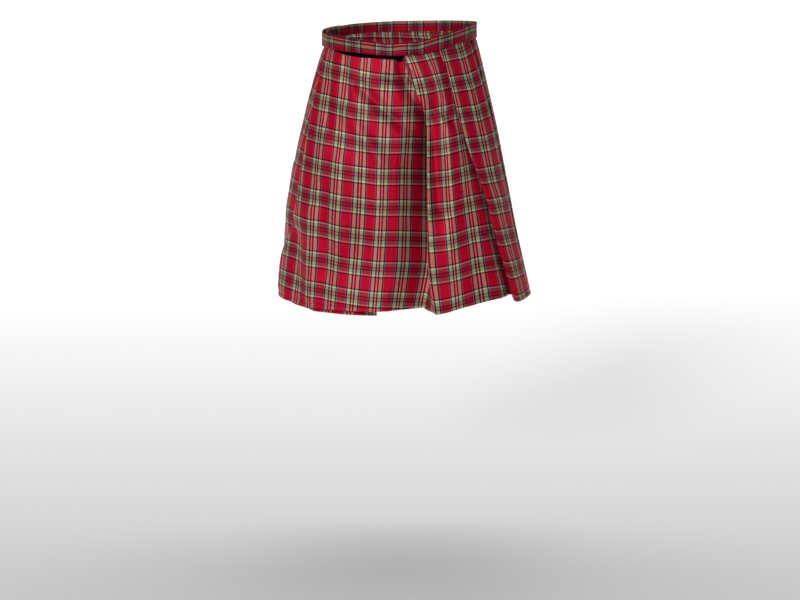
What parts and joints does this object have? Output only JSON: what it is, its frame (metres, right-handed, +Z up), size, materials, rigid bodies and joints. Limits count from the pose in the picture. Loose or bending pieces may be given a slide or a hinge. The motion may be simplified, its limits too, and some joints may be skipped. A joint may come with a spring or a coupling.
{
  "type": "tartan wrap kilt",
  "caption": "Wrap-around tartan kilt in its worn form: flat over-apron in front, knife pleats round the back and a waistband closed with hook-and-loop tape",
  "frame": {"origin": "centre of the waist, at mid height of the waistband, where the kilt is held by the wearer's waist", "axes": "+Z up along the wearer's body, the front faces -Y, the wearer's left is +X"},
  "size_m": [0.5118, 0.3535, 0.568],
  "materials": {
    "over_apron": "thin satiny polyester, red tartan",
    "front_panel": "thin satiny polyester, red tartan",
    "left_panel": "thin satiny polyester, red tartan",
    "back_panel": "thin satiny polyester, red tartan",
    "right_back_panel": "thin satiny polyester, red tartan",
    "under_apron": "thin satiny polyester, red tartan",
    "waistband": "the same tartan folded double",
    "loop_tape": "black loop pile tape",
    "hook_tape": "black hook tape"
  },
  "bodies": {
    "root": {"over_apron": "over_apron", "front_panel": "front_panel", "left_panel": "left_panel", "back_panel": "back_panel", "right_back_panel": "right_back_panel", "under_apron": "under_apron", "waistband": "waistband", "loop_tape": "loop_tape", "hook_tape": "hook_tape"}
  },
  "joints": []
}
